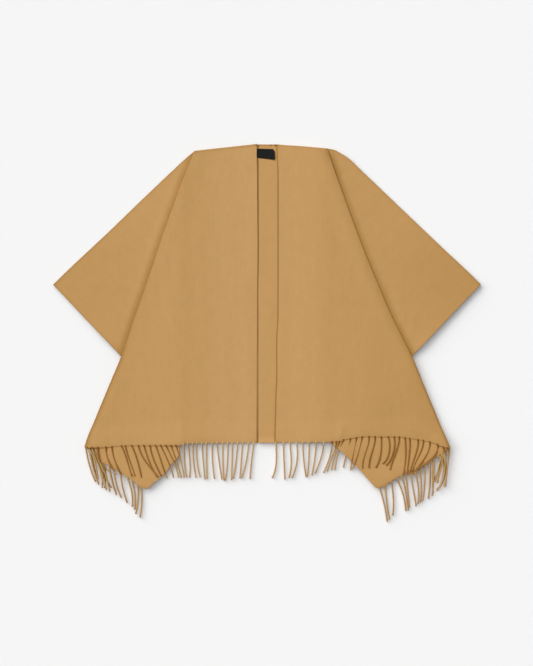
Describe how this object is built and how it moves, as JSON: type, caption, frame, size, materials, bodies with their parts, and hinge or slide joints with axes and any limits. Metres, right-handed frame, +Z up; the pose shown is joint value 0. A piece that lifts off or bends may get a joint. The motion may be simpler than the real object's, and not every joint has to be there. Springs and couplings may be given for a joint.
{
  "type": "fringed open-front poncho",
  "caption": "Open-front wool poncho with fringed hems, laid flat with its front up, with one slanted pleat a side.",
  "frame": {"origin": "on the surface it lies on, under the middle of its outline, which is on the middle of the back strip", "axes": "+Z up out of the surface, +Y towards the neck, +X towards the side that is on the right as it is seen from above"},
  "size_m": [1.1105, 0.9826, 0.0119],
  "materials": {
    "wool": "felted camel wool, soft matt nap",
    "fringe": "twisted strands of the same camel wool",
    "label": "black woven label, bare"
  },
  "bodies": {
    "root": {"left_panel": "wool", "right_panel": "wool", "back_strip": "wool", "label": "label", "left_front_fringe": "fringe", "left_front_corner_fringe": "fringe", "left_back_fringe": "fringe", "left_back_corner_fringe": "fringe", "right_front_fringe": "fringe", "right_front_corner_fringe": "fringe", "right_back_fringe": "fringe", "right_back_corner_fringe": "fringe"}
  },
  "joints": []
}
